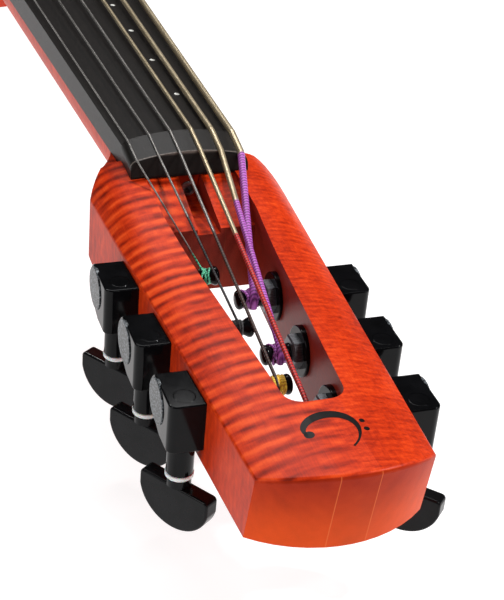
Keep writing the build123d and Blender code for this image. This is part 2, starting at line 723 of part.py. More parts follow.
with BuildPart() as neck_blank:
    # plan of the head and its shoulders
    with BuildSketch(on_head(z=CROWN_CLEAR / 3)):
        with BuildLine():
            shoulder = head_half_width(HEAD_SHOULDER_Y)
            neck_side = NUT_HALF_WIDTH - NECK_SIDE_INSET
            front = -2 * HEAD_END_BULGE
            for side in (-1, 1):
                Polyline(
                    (0, front),
                    (side * head_half_width(front), front),
                    (side * shoulder, HEAD_SHOULDER_Y),
                )
                Spline(
                    (side * shoulder, HEAD_SHOULDER_Y),
                    (side * (shoulder - 8.4), HEAD_SHOULDER_Y + 15.0),
                    (side * neck_side, NECK_BLEND_Y),
                    tangents=[(-side * 0.35, 1), (-side * 0.25, 1)],
                )
            Line((-neck_side, NECK_BLEND_Y), (neck_side, NECK_BLEND_Y))
        make_face()
    extrude(amount=-(CROWN_CLEAR / 3 + HEAD_DEPTH))
    # bowed end that leans in towards the back
    with BuildSketch(on_head()):
        with BuildLine():
            end_x = head_half_width(0) + 10
            reach = HEAD_END_BULGE - 0.8
            end_y = reach / head_half_width(0) ** 2 * end_x**2 - reach
            ThreePointArc((-end_x, end_y), (0, -reach), (end_x, end_y))
            Polyline((end_x, end_y), (end_x, -90), (-end_x, -90), (-end_x, end_y))
        make_face()
    lean = HEAD.from_local_coords(Vector(0, HEAD_END_UNDERCUT, -HEAD_DEPTH)) - HEAD.origin
    extrude(amount=3 * HEAD_DEPTH, dir=lean.normalized(), both=True, mode=Mode.SUBTRACT)
    # crowned top
    extrude(crown_face, amount=CROWN_CLEAR, dir=HEAD.z_dir, mode=Mode.SUBTRACT)
    top_edges = neck_blank.edges().filter_by(
        lambda e: abs(HEAD.to_local_coords(e.center()).Z) < 8
        and HEAD.to_local_coords(e.center()).Y < HEAD_SHOULDER_Y + 2
        and e.length > 60
    )
    fillet(top_edges, HEAD_EDGE_RADIUS)
    # shoulders sweep up from the back of the head into the neck
    with BuildSketch(on_head(-60, x_dir=(0, 1, 0), z_dir=(1, 0, 0))):
        with BuildLine():
            Spline(
                (HEAD_SHOULDER_Y - 6, -HEAD_DEPTH),
                (HEAD_SHOULDER_Y + 14, -HEAD_DEPTH + 11),
                (NECK_BLEND_Y + 1, 0),
                tangents=[(1, 0.1), (0.3, 1)],
            )
            Polyline(
                (NECK_BLEND_Y + 1, 0),
                (NECK_BLEND_Y + 1, -HEAD_DEPTH - 5),
                (HEAD_SHOULDER_Y - 6, -HEAD_DEPTH - 5),
                (HEAD_SHOULDER_Y - 6, -HEAD_DEPTH),
            )
        make_face()
    extrude(amount=120, mode=Mode.SUBTRACT)
    # the neck itself, rooted inside the head, and its heel down to the body
    add(loft([neck_section(NECK_ROOT_STATION), neck_section(HEEL_END)], ruled=True))
    with BuildSketch(Plane(origin=(0, NUT_Y, BODY_SURFACE_Z))):
        with Locations((0, (HEEL_START + HEEL_END) / 2)):
            RectangleRounded(2 * HEEL_HALF_WIDTH, HEEL_END - HEEL_START, HEEL_CORNER_RADIUS)
    extrude(amount=neck_top(HEEL_END) - BODY_SURFACE_Z - 2)
    # seat of the nut, and the face under the fingerboard
    with BuildSketch(on_head(-60, x_dir=(0, 1, 0), z_dir=(1, 0, 0))):
        Polygon(
            (NUT_FRONT_Y, NUT_SEAT_Z),
            (NUT_FRONT_Y, CROWN_CLEAR),
            (NUT_FRONT_Y + NUT_LENGTH + 5, CROWN_CLEAR),
            (NUT_FRONT_Y + NUT_LENGTH + 5, NUT_SEAT_Z),
            align=None,
        )
    nut_room = extrude(amount=120, mode=Mode.PRIVATE)
    wings_kept = Box(
        2 * NUT_HALF_WIDTH, 200, 100, mode=Mode.PRIVATE
    ).moved(Location((0, NUT_Y, NUT_SEAT_HEIGHT)))
    add(nut_room & wings_kept, mode=Mode.SUBTRACT)
    with BuildSketch(Plane(origin=(-60, NUT_Y, 0), x_dir=(0, 1, 0), z_dir=(1, 0, 0))):
        Polygon(
            (NUT_BACK_STATION, neck_top(NUT_BACK_STATION)),
            (FINGERBOARD_LENGTH + 10, neck_top(FINGERBOARD_LENGTH + 10)),
            (FINGERBOARD_LENGTH + 10, STRING_HEIGHT + 20),
            (NUT_BACK_STATION, STRING_HEIGHT + 20),
            align=None,
        )
    extrude(amount=120, mode=Mode.SUBTRACT)
    # string slot, holes of the post bushings, bore of the truss rod
    add(slot_cutter.part, mode=Mode.SUBTRACT)
    for machine in machines:
        axis_y = machine["y"] + POST_AXIS_OFFSET
        with BuildSketch(on_head(0, axis_y, -POST_AXIS_DEPTH, (0, 1, 0), (1, 0, 0))):
            Circle(BUSHING_RADIUS)
        extrude(amount=machine["sign"] * 80, mode=Mode.SUBTRACT)
        # room for the washer where the slot's corner is rounded
        with BuildSketch(wall_cutter_plane(machine)):
            Circle(WASHER_RADIUS + 0.5)
        extrude(amount=2 * SLOT_HALF_WIDTH, mode=Mode.SUBTRACT)
    with BuildSketch(along_rod(0)):
        Circle(ROD_RADIUS)
    extrude(amount=-(ROD_LENGTH + ROD_NUT_LENGTH), mode=Mode.SUBTRACT)
    with BuildSketch(along_rod(0)):
        Circle(ROD_NUT_RADIUS)
    extrude(amount=-ROD_NUT_LENGTH, mode=Mode.SUBTRACT)

side_block = 200.0
for name, centre, width in (
    ("neck_left_lamination", -CENTRE_LAMINATION_HALF_WIDTH - side_block / 2, side_block),
    ("neck_centre_lamination", 0, 2 * CENTRE_LAMINATION_HALF_WIDTH),
    ("neck_right_lamination", CENTRE_LAMINATION_HALF_WIDTH + side_block / 2, side_block),
):
    with BuildPart() as lamination:
        add(neck_blank.part)
        with Locations((centre, 0, STRING_HEIGHT)):
            Box(width, 2000, 400, mode=Mode.INTERSECT)
    finish(lamination.part, name)

# ---------------------------------------------------------------- truss rod
with BuildPart() as rod_nut:
    with BuildSketch(along_rod(0)):
        Circle(ROD_NUT_RADIUS)
    extrude(amount=-ROD_NUT_LENGTH)
    chamfer(rod_nut.faces().sort_by(Axis.Y)[0].edges(), 0.4)
    with BuildSketch(along_rod(0)):
        RegularPolygon(ROD_SOCKET_WIDTH / 2, 6, major_radius=False)
    extrude(amount=-0.6 * ROD_NUT_LENGTH, mode=Mode.SUBTRACT)
finish(rod_nut.part, "truss_rod_nut")

with BuildPart() as rod:
    with BuildSketch(along_rod(ROD_NUT_LENGTH)):
        Circle(ROD_RADIUS)
    extrude(amount=-ROD_LENGTH)
finish(rod.part, "truss_rod")


# ================================================================ strings
def string_route(index):
    """Corners of a string: anchor, bridge, back and front of the nut, post, loose end."""
    machine = machines[index]
    radius = STRING_RADII[index]
    at_bridge = string_x(index, SCALE_LENGTH)
    post = head_point(0, machine["y"] + POST_AXIS_OFFSET, -POST_AXIS_DEPTH)
    winding_x = machine["x"] - machine["sign"] * (POST_REACH - WINDING_FROM_TIP)
    wrap = POST_WAIST_RADIUS + WINDING_GAP + radius
    front = Vector(
        string_x(index, NUT_BREAK_STATION),
        NUT_Y + NUT_BREAK_STATION,
        string_z(index) - NUT_TOP_FALL,
    )
    # the string leaves the nut on a line that touches the top of its turn on the post
    to_post = Vector(post.Y - front.Y, post.Z - front.Z)
    slope = math.atan2(to_post.Y, to_post.X) - math.asin(wrap / to_post.length)
    far_side = post.Y - wrap
    corner_z = front.Z + math.tan(slope) * (far_side - front.Y)
    return [
        Vector(at_bridge, NUT_Y + TAILPIECE_STATION + TAILPIECE_LENGTH / 2, STRING_ANCHOR_Z),
        Vector(at_bridge, NUT_Y + SCALE_LENGTH, string_z(index)),
        Vector(string_x(index, 0), NUT_Y, string_z(index)),
        front,
        Vector(winding_x, far_side, corner_z),
        Vector(winding_x, far_side, post.Z - STRING_TAIL_BELOW_POST),
    ], wrap


def string_solid(index, extra=0.0):
    """A string along its route, or the room it needs when made a little thicker."""
    corners, wrap = string_route(index)
    with BuildPart() as string:
        with BuildLine() as route:
            FilletPolyline(*corners, radius=[BRIDGE_BEND, NUT_BEND, NUT_BEND, wrap])
        with BuildSketch(Plane(origin=route.line @ 0, z_dir=route.line % 0)):
            Circle(STRING_RADII[index] + extra)
        sweep()
    return string.part


string_rooms = []
for index in range(STRING_COUNT):
    finish(string_solid(index), f"string_{index + 1}")
    string_rooms.append(string_solid(index, STRING_SLOT_CLEARANCE))


# ================================================================ nut and fingerboard
def arched_section(station, half_width, bottom, crown, arch_radius):
    """A flat-bottomed block with an arched top, across the neck."""
    edge = crown - half_width**2 / (2 * arch_radius)
    with BuildSketch(across(station)) as section:
        with BuildLine():
            Polyline(
                (-half_width, edge), (-half_width, bottom), (half_width, bottom), (half_width, edge)
            )
            ThreePointArc((-half_width, edge), (0, crown), (half_width, edge))
        make_face()
    return section.sketch


NUT_CROWN = STRING_HEIGHT - STRING_PROUD_OF_NUT
nut_slope_rise = NUT_TOP_FALL * NUT_LENGTH / -NUT_BREAK_STATION

with BuildPart() as nut:
    loft(
        [
            arched_section(
                NUT_FRONT_STATION,
                NUT_HALF_WIDTH,
                NUT_SEAT_HEIGHT - 5,
                NUT_CROWN - nut_slope_rise,
                STRING_ARCH_RADIUS,
            ),
            arched_section(
                NUT_BACK_STATION, NUT_HALF_WIDTH, NUT_SEAT_HEIGHT - 5, NUT_CROWN, STRING_ARCH_RADIUS
            ),
        ],
        ruled=True,
    )
    # seated parallel to the head's edges
    with BuildSketch(on_head(-60, x_dir=(0, 1, 0), z_dir=(1, 0, 0))):
        Polygon(
            (NUT_FRONT_Y - 5, NUT_SEAT_Z),
            (NUT_FRONT_Y + NUT_LENGTH + 9, NUT_SEAT_Z),
            (NUT_FRONT_Y + NUT_LENGTH + 9, -HEAD_DEPTH),
            (NUT_FRONT_Y - 5, -HEAD_DEPTH),
            align=None,
        )
        # leaning front face
        Polygon(
            (NUT_FRONT_Y, NUT_SEAT_Z),
            (NUT_FRONT_Y + 2 * NUT_FRONT_LEAN, NUT_SEAT_Z + 2 * NUT_FRONT_HEIGHT),
            (NUT_FRONT_Y - 10, NUT_SEAT_Z + 2 * NUT_FRONT_HEIGHT),
            (NUT_FRONT_Y - 10, NUT_SEAT_Z),
            align=None,
        )
    extrude(amount=120, mode=Mode.SUBTRACT)
    end_edges = nut.edges().filter_by(
        lambda e: abs(abs(e.center().X) - NUT_HALF_WIDTH) < 0.1
        and e.center().Z > NUT_SEAT_HEIGHT + 4
        and e.length > 12
    )
    fillet(end_edges, NUT_END_RADIUS)
    for room in string_rooms:
        add(room, mode=Mode.SUBTRACT)
finish(nut.part, "nut")

FINGERBOARD_CROWN = (
    STRING_HEIGHT - FINGERBOARD_GAP_AT_NUT,
    STRING_HEIGHT - FINGERBOARD_GAP_AT_END,
)
with BuildPart() as fingerboard:
    loft(
        [
            arched_section(
                station,
                fingerboard_half_width(station),
                neck_top(station),
                crown,
                STRING_ARCH_RADIUS * (1 + STRING_FAN * station) ** 2,
            )
            for station, crown in zip((NUT_BACK_STATION, FINGERBOARD_LENGTH), FINGERBOARD_CROWN)
        ],
        ruled=True,
    )

with BuildPart() as dots:
    for semitone in range(1, DOT_COUNT + 1):
        station = SCALE_LENGTH * (1 - 2 ** (-semitone / 12))
        fall = station / FINGERBOARD_LENGTH
        crown = FINGERBOARD_CROWN[0] * (1 - fall) + FINGERBOARD_CROWN[1] * fall
        with Locations((DOT_X, NUT_Y + station, crown - DOT_DEPTH)):
            Cylinder(DOT_RADIUS, 10, align=(Align.CENTER, Align.CENTER, Align.MIN))
    add(fingerboard.part, mode=Mode.INTERSECT)
finish(dots.part, "position_dots")

with fingerboard:
    add(dots.part, mode=Mode.SUBTRACT)
finish(fingerboard.part, "fingerboard")


# ================================================================ body
def body_outline():
    """Half widths of the body at stations along it, from the heel to the tail."""
    length = BODY_END - BODY_START
    return [
        (0.42 * BODY_WIDTH_UPPER / 2, BODY_START),
        (BODY_WIDTH_UPPER / 2, BODY_START + 0.15 * length),
        (BODY_WIDTH_WAIST / 2, BODY_START + 0.36 * length),
        (BODY_WIDTH_LOWER / 2, BODY_END - 0.25 * length),
        (0.93 * BODY_WIDTH_LOWER / 2, BODY_END - 0.12 * length),
        (0.62 * BODY_WIDTH_LOWER / 2, BODY_END - 14),
    ]


def body_slab(z, thickness):
    with BuildPart() as slab:
        with BuildSketch(Plane(origin=(0, NUT_Y, z))):
            with BuildLine():
                half = body_outline()
                for side in (-1, 1):
                    Spline(
                        *[(side * x, y) for x, y in half],
                        tangents=[(side * 0.9, 0.45), (-side * 0.9, 0.45)],
                    )
                ThreePointArc(
                    (-half[-1][0], half[-1][1]), (0, BODY_END), (half[-1][0], half[-1][1])
                )
                ThreePointArc(
                    (-half[0][0], half[0][1]), (0, half[0][1] - 6), (half[0][0], half[0][1])
                )
            make_face()
        extrude(amount=thickness)
    return slab.part


JACK_FACE_X = -(BODY_WIDTH_LOWER / 2 - JACK_RECESS)

with BuildPart() as body_core:
    add(body_slab(0, BODY_CORE_THICKNESS))
    # chamber under the top
    with BuildSketch(Plane(origin=(0, NUT_Y, BODY_CORE_THICKNESS))):
        with Locations((0, (CAVITY_START + CAVITY_END) / 2)):
            RectangleRounded(2 * CAVITY_HALF_WIDTH, CAVITY_END - CAVITY_START, 20)
    extrude(amount=-CAVITY_DEPTH, mode=Mode.SUBTRACT)
    # way of the endpin's rod
    with BuildSketch(across(BODY_END + 1, ENDPIN_Z)):
        Circle(ENDPIN_RADIUS + ENDPIN_CLEARANCE)
    extrude(amount=BODY_END - CAVITY_END + 20, mode=Mode.SUBTRACT)
    # flat for the collar
    with BuildSketch(across(BODY_END - COLLAR_SEAT, ENDPIN_Z)):
        Circle(COLLAR_RADIUS)
    extrude(amount=-20, mode=Mode.SUBTRACT)
    # recess of the jack's plate and the hole for its barrel
    with Locations(
        Location((JACK_FACE_X, NUT_Y + JACK_STATION, JACK_Z), (0, -90, 0))
    ):
        Cylinder(
            JACK_PLATE_RADIUS,
            60,
            align=(Align.CENTER, Align.CENTER, Align.MIN),
            mode=Mode.SUBTRACT,
        )
        Cylinder(
            JACK_BARREL_RADIUS,
            JACK_BORE_DEPTH + 4,
            align=(Align.CENTER, Align.CENTER, Align.MAX),
            mode=Mode.SUBTRACT,
        )
    # ends of the knobs' shafts
    for station in KNOB_STATIONS.values():
        with Locations((KNOB_X, NUT_Y + station, BODY_CORE_THICKNESS)):
            Cylinder(
                KNOB_SHAFT_RADIUS + RUNNING_CLEARANCE,
                KNOB_SHAFT_DEPTH + 1,
                align=(Align.CENTER, Align.CENTER, Align.MAX),
                mode=Mode.SUBTRACT,
            )
finish(body_core.part, "body_core")

with BuildPart() as body_top:
    add(body_slab(BODY_CORE_THICKNESS, BODY_TOP_THICKNESS))
    fillet(body_top.faces().sort_by(Axis.Z)[-1].edges(), BODY_EDGE_RADIUS)
    for station in KNOB_STATIONS.values():
        with Locations((KNOB_X, NUT_Y + station, BODY_SURFACE_Z)):
            Cylinder(
                KNOB_SHAFT_RADIUS + RUNNING_CLEARANCE, 4 * BODY_TOP_THICKNESS, mode=Mode.SUBTRACT
            )
finish(body_top.part, "body_top")

# ---------------------------------------------------------------- bridge and tailpiece
BRIDGE_HALF_WIDTH = string_x(STRING_COUNT - 1, SCALE_LENGTH) + BRIDGE_TOP_MARGIN
BRIDGE_CROWN = STRING_HEIGHT - STRING_PROUD_OF_NUT
BRIDGE_ARCH_RADIUS = STRING_ARCH_RADIUS * (1 + STRING_FAN * SCALE_LENGTH) ** 2
bridge_height = BRIDGE_CROWN - BODY_SURFACE_Z
bridge_edge = BRIDGE_CROWN - BRIDGE_HALF_WIDTH**2 / (2 * BRIDGE_ARCH_RADIUS)

with BuildPart() as bridge:
    with BuildSketch(across(SCALE_LENGTH + BRIDGE_THICKNESS_TOP / 2)):
        with BuildLine():
            ThreePointArc(
                (-BRIDGE_HALF_WIDTH, bridge_edge), (0, BRIDGE_CROWN), (BRIDGE_HALF_WIDTH, bridge_edge)
            )
            for side in (-1, 1):
                Spline(
                    (side * BRIDGE_HALF_WIDTH, bridge_edge),
                    (side * 0.72 * BRIDGE_HALF_WIDTH, BODY_SURFACE_Z + 0.45 * bridge_height),
                    (side * BRIDGE_FOOT_HALF_SPAN, BODY_SURFACE_Z),
                    tangents=[(-side * 0.4, -1), (side * 0.7, -1)],
                )
            Line((-BRIDGE_FOOT_HALF_SPAN, BODY_SURFACE_Z), (BRIDGE_FOOT_HALF_SPAN, BODY_SURFACE_Z))
        make_face()
        with Locations((0, BODY_SURFACE_Z)):
            Circle(0.3 * bridge_height, mode=Mode.SUBTRACT)
        with Locations((0, BODY_SURFACE_Z + 0.52 * bridge_height)):
            Ellipse(0.09 * bridge_height, 0.12 * bridge_height, mode=Mode.SUBTRACT)
        for side in (-1, 1):
            with Locations((side * 0.36 * BRIDGE_HALF_WIDTH, BODY_SURFACE_Z + 0.56 * bridge_height)):
                Ellipse(0.07 * bridge_height, 0.13 * bridge_height, mode=Mode.SUBTRACT)
    extrude(amount=BRIDGE_THICKNESS_FOOT)
    # the face towards the neck leans back, so the bridge is thin under the strings
    with BuildSketch(Plane(origin=(-80, NUT_Y + SCALE_LENGTH, 0), x_dir=(0, 1, 0), z_dir=(1, 0, 0))):
        Polygon(
            (-BRIDGE_THICKNESS_TOP / 2, BRIDGE_CROWN + 1),
            (BRIDGE_THICKNESS_TOP / 2 - BRIDGE_THICKNESS_FOOT, BODY_SURFACE_Z + 8),
            (BRIDGE_THICKNESS_TOP / 2 - BRIDGE_THICKNESS_FOOT - 5, BODY_SURFACE_Z + 8),
            (BRIDGE_THICKNESS_TOP / 2 - BRIDGE_THICKNESS_FOOT - 5, BRIDGE_CROWN + 1),
            align=None,
        )
    extrude(amount=160, mode=Mode.SUBTRACT)
    for room in string_rooms:
        add(room, mode=Mode.SUBTRACT)
finish(bridge.part, "bridge")

with BuildPart() as pickup:
    with Locations(
        (
            0,
            NUT_Y + SCALE_LENGTH + (BRIDGE_THICKNESS_TOP + PICKUP_HEIGHT) / 2,
            BODY_SURFACE_Z + PICKUP_RISE,
        )
    ):
        Box(PICKUP_LENGTH, PICKUP_HEIGHT, PICKUP_WIDTH)
    fillet(pickup.edges().filter_by(Axis.Z), 0.8)
finish(pickup.part, "bridge_pickup")

with BuildPart() as tailpiece:
    with BuildSketch(Plane(origin=(0, NUT_Y, BODY_SURFACE_Z))):
        with Locations((0, TAILPIECE_STATION + TAILPIECE_LENGTH / 2)):
            RectangleRounded(2 * TAILPIECE_HALF_WIDTH, TAILPIECE_LENGTH, 8)
    extrude(amount=TAILPIECE_HEIGHT)
    fillet(tailpiece.faces().sort_by(Axis.Z)[-1].edges(), 3)
    for room in string_rooms:
        add(room, mode=Mode.SUBTRACT)
finish(tailpiece.part, "tailpiece")

# ---------------------------------------------------------------- controls
for name, station in KNOB_STATIONS.items():
    with BuildPart() as knob:
        with Locations((KNOB_X, NUT_Y + station, BODY_SURFACE_Z + KNOB_GAP)):
            Cylinder(KNOB_RADIUS, KNOB_HEIGHT, align=(Align.CENTER, Align.CENTER, Align.MIN))
        fillet(knob.faces().sort_by(Axis.Z)[-1].edges(), 1.2)
        # pointer groove across the top
        with Locations((KNOB_X, NUT_Y + station - KNOB_RADIUS / 2, BODY_SURFACE_Z + KNOB_HEIGHT)):
            Box(1.2, KNOB_RADIUS, 1.2, mode=Mode.SUBTRACT)
        with Locations((KNOB_X, NUT_Y + station, BODY_SURFACE_Z + KNOB_GAP + 2)):
            Cylinder(
                KNOB_SHAFT_RADIUS,
                BODY_TOP_THICKNESS + KNOB_SHAFT_DEPTH + KNOB_GAP + 2,
                align=(Align.CENTER, Align.CENTER, Align.MAX),
            )
    finish(knob.part, name)

with BuildPart() as jack:
    with Locations(Location((JACK_FACE_X, NUT_Y + JACK_STATION, JACK_Z), (0, -90, 0))):
        Cylinder(
            JACK_PLATE_RADIUS,
            JACK_PLATE_THICKNESS,
            align=(Align.CENTER, Align.CENTER, Align.MIN),
        )
        Cylinder(
            JACK_BARREL_RADIUS, JACK_BORE_DEPTH, align=(Align.CENTER, Align.CENTER, Align.MAX)
        )
        Cylinder(
            JACK_BORE_RADIUS,
            2 * (JACK_BORE_DEPTH - JACK_PLATE_THICKNESS),
            mode=Mode.SUBTRACT,
        )
    fillet(jack.faces().sort_by(Axis.X)[0].edges().group_by(SortBy.RADIUS)[-1], 0.8)
finish(jack.part, "output_jack")

# ---------------------------------------------------------------- endpin
collar_start = BODY_END - COLLAR_SEAT
screw_station = BODY_END + 0.6 * COLLAR_LENGTH
with BuildPart() as collar:
    with BuildSketch(across(collar_start, ENDPIN_Z)):
        Circle(COLLAR_RADIUS)
    extrude(amount=-(COLLAR_LENGTH + COLLAR_SEAT))
    fillet(collar.faces().sort_by(Axis.Y)[-1].edges(), 2)
    with BuildSketch(across(collar_start, ENDPIN_Z)):
        Circle(ENDPIN_RADIUS + ENDPIN_CLEARANCE)
    extrude(amount=-(COLLAR_LENGTH + COLLAR_SEAT), mode=Mode.SUBTRACT)
    with Locations((0, NUT_Y + screw_station, ENDPIN_Z + ENDPIN_RADIUS)):
        Cylinder(
            SCREW_RADIUS + ENDPIN_CLEARANCE,
            COLLAR_RADIUS,
            align=(Align.CENTER, Align.CENTER, Align.MIN),
            mode=Mode.SUBTRACT,
        )
finish(collar.part, "endpin_collar")

with BuildPart() as endpin:
    with BuildSketch(across(REAR_STATION, ENDPIN_Z)):
        Circle(ENDPIN_RADIUS)
    extrude(amount=ENDPIN_LENGTH)
    chamfer(endpin.faces().sort_by(Axis.Y)[-1].edges(), 3.5)
finish(endpin.part, "endpin_rod")

with BuildPart() as screw:
    with Locations((0, NUT_Y + screw_station, ENDPIN_Z + ENDPIN_RADIUS + SCREW_TIP_GAP)):
        Cylinder(
            SCREW_RADIUS, COLLAR_RADIUS, align=(Align.CENTER, Align.CENTER, Align.MIN)
        )
    with Locations((0, NUT_Y + screw_station, ENDPIN_Z + COLLAR_RADIUS + SCREW_TIP_GAP)):
        Cylinder(
            SCREW_HEAD_RADIUS, SCREW_HEAD_HEIGHT, align=(Align.CENTER, Align.CENTER, Align.MIN)
        )
    fillet(screw.faces().sort_by(Axis.Z)[-1].edges(), 1.0)
finish(screw.part, "endpin_screw")
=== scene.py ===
"""Six-string electric upright bass on a pale studio floor, seen over its slotted head.

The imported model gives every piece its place. This script adds the finishes, the silk wound
round the tuning posts, the clef inlaid in the head, the light and the camera.
"""
import json
import math
import random

import bpy
from mathutils import Matrix, Vector
from mathutils.bvhtree import BVHTree


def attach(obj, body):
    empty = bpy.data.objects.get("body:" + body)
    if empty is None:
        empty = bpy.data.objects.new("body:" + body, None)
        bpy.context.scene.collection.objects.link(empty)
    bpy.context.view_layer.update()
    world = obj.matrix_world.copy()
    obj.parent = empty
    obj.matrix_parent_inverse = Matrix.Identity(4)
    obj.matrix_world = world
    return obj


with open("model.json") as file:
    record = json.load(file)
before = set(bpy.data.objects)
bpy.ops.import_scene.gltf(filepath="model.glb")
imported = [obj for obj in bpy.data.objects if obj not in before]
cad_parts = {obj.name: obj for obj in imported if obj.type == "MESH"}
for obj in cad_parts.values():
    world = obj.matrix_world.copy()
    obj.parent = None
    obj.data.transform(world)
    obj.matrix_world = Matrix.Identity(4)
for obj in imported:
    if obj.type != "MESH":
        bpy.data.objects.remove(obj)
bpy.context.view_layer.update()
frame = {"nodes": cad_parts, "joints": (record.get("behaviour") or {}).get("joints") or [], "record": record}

MM = 0.001

# ---------------------------------------------------------------- the head's own frame
# x to the bass side, y from the head's end corners to the nut, z up from the top edges;
# the first tuner's joint is this far along the head, and this far below its top edges
TUNER_1_Y = 138.3 * MM
POST_DEPTH = 11.0 * MM
joints = {joint["name"]: joint for joint in frame["joints"]}
worm_1 = joints["tuner_1_turn"]
HEAD_Z = Vector(worm_1["axis"]).normalized()
HEAD_X = Vector((1, 0, 0))
HEAD_Y = HEAD_Z.cross(HEAD_X)
worm_1_foot = Vector(worm_1["pos_m"])
HEAD_ORIGIN = worm_1_foot - HEAD_Y * TUNER_1_Y + HEAD_Z * POST_DEPTH
HEAD_ORIGIN.x = 0.0
HEAD_TILT = math.atan2(-HEAD_Z.y, HEAD_Z.z)


def head_direction(x, y, z):
    """A direction in the head's frame as one in the shared frame."""
    return HEAD_X * x + HEAD_Y * y + HEAD_Z * z


def from_head(x, y, z):
    """A place in the head's frame, in millimetres, as a place in the shared frame."""
    return HEAD_ORIGIN + head_direction(x, y, z) * MM


# ---------------------------------------------------------------- material helpers
def linear(red, green, blue):
    """A screen colour of 0 to 255 as the linear colour the shader wants."""
    channels = []
    for value in (red, green, blue):
        c = value / 255
        channels.append(c / 12.92 if c <= 0.04045 else ((c + 0.055) / 1.055) ** 2.4)
    return (*channels, 1.0)


class Shader:
    """A material with short calls for the nodes it is built from."""

    def __init__(self, name):
        self.material = bpy.data.materials.new(name)
        self.material.use_nodes = True
        self.nodes = self.material.node_tree.nodes
        self.links = self.material.node_tree.links
        self.surface = self.nodes["Principled BSDF"]

    def put(self, socket, value):
        """Links a socket or sets a plain value."""
        if isinstance(value, bpy.types.NodeSocket):
            self.links.new(value, socket)
        else:
            socket.default_value = value

    def set(self, **values):
        """Gives the surface its inputs, with _ for each space in an input's name."""
        for key, value in values.items():
            self.put(self.surface.inputs[key.replace("_", " ")], value)

    def math(self, operation, a, b=0.0):
        node = self.nodes.new("ShaderNodeMath")
        node.operation = operation
        self.put(node.inputs[0], a)
        self.put(node.inputs[1], b)
        return node.outputs[0]

    def plus(self, a, b):
        return self.math("ADD", a, b)

    def minus(self, a, b):
        return self.math("SUBTRACT", a, b)

    def times(self, a, b):
        return self.math("MULTIPLY", a, b)

    def size_of(self, value):
        return self.math("ABSOLUTE", value)

    def step(self, value, start, end):
        """Smoothly 0 to 1 while the value goes from start to end."""
        node = self.nodes.new("ShaderNodeMapRange")
        node.interpolation_type = "SMOOTHSTEP"
        self.put(node.inputs["Value"], value)
        node.inputs["From Min"].default_value = min(start, end)
        node.inputs["From Max"].default_value = max(start, end)
        node.inputs["To Min"].default_value = 0.0 if start < end else 1.0
        node.inputs["To Max"].default_value = 1.0 if start < end else 0.0
        return node.outputs["Result"]

    def mix(self, factor, a, b):
        node = self.nodes.new("ShaderNodeMix")
        node.data_type = "RGBA"
        factor_socket, first_colour, second_colour = (node.inputs[i] for i in (0, 6, 7))
        self.put(factor_socket, factor)
        self.put(first_colour, a)
        self.put(second_colour, b)
        return node.outputs[2]

    def ramp(self, value, *stops):
        """A colour for each value, blended between stops of (value, colour)."""
        node = self.nodes.new("ShaderNodeValToRGB")
        elements = node.color_ramp.elements
        while len(elements) < len(stops):
            elements.new(0.5)
        for element, (place, colour) in zip(elements, stops):
            element.position = place
            element.color = colour
        self.put(node.inputs[0], value)
        return node.outputs[0]

    def place(self, stretch=(1, 1, 1)):
        """Coordinates in the head's frame, in millimetres, times the stretch."""
        coordinates = self.nodes.new("ShaderNodeTexCoord")
        turn = self.nodes.new("ShaderNodeMapping")
        turn.inputs["Scale"].default_value = (1 / MM,) * 3
        turn.inputs["Rotation"].default_value = (-HEAD_TILT, 0, 0)
        back = Matrix.Rotation(-HEAD_TILT, 3, "X") @ HEAD_ORIGIN
        turn.inputs["Location"].default_value = -back / MM
        self.links.new(coordinates.outputs["Object"], turn.inputs["Vector"])
        if stretch == (1, 1, 1):
            return turn.outputs[0]
        scaled = self.nodes.new("ShaderNodeVectorMath")
        scaled.operation = "MULTIPLY"
        scaled.inputs[1].default_value = stretch
        self.links.new(turn.outputs[0], scaled.inputs[0])
        return scaled.outputs[0]

    def split(self, vector):
        """The outputs X, Y and Z of a vector."""
        node = self.nodes.new("ShaderNodeSeparateXYZ")
        self.links.new(vector, node.inputs[0])
        return node.outputs

    def normal(self):
        """Which way the surface faces, as the outputs X, Y and Z."""
        coordinates = self.nodes.new("ShaderNodeTexCoord")
        return self.split(coordinates.outputs["Normal"])

    def noise(self, stretch, detail, roughness=0.55):
        """Cloudy noise; a larger stretch along an axis makes it finer along that axis."""
        node = self.nodes.new("ShaderNodeTexNoise")
        node.inputs["Scale"].default_value = 1.0
        node.inputs["Detail"].default_value = detail
        node.inputs["Roughness"].default_value = roughness
        self.links.new(self.place(stretch), node.inputs["Vector"])
        return node.outputs[0]

    def bands(self, stretch, spacing, distortion, detail_scale):
        """Soft stripes across the head, this many millimetres apart along it."""
        node = self.nodes.new("ShaderNodeTexWave")
        node.wave_type = "BANDS"
        node.bands_direction = "Y"
        node.inputs["Scale"].default_value = 2 * math.pi / (20 * spacing)
        node.inputs["Distortion"].default_value = distortion
        node.inputs["Detail"].default_value = 2.0
        node.inputs["Detail Scale"].default_value = detail_scale
        self.links.new(self.place(stretch), node.inputs["Vector"])
        return node.outputs["Fac"]

    def bump(self, height, strength, distance):
        node = self.nodes.new("ShaderNodeBump")
        node.inputs["Strength"].default_value = strength
        node.inputs["Distance"].default_value = distance
        self.links.new(height, node.inputs["Height"])
        self.links.new(node.outputs[0], self.surface.inputs["Normal"])


# ---------------------------------------------------------------- wood of the head and neck
# all in millimetres of the head's frame
FLAME_SPACING, FINE_SPACING = 7.4, 3.3
GLUE_LINE_X = 7.8
GLUE_LINE_EDGE, GLUE_LINE_CORE = 0.28, 0.1
END_FOOT_Z, END_TOP_Z = -30.0, 8.0
SLOT_START, SLOT_END = 28.5, 203.5
SLOT_HALF_WIDTH, SLOT_TAPER = 9.7, 0.07
WALL_REACH = 0.4

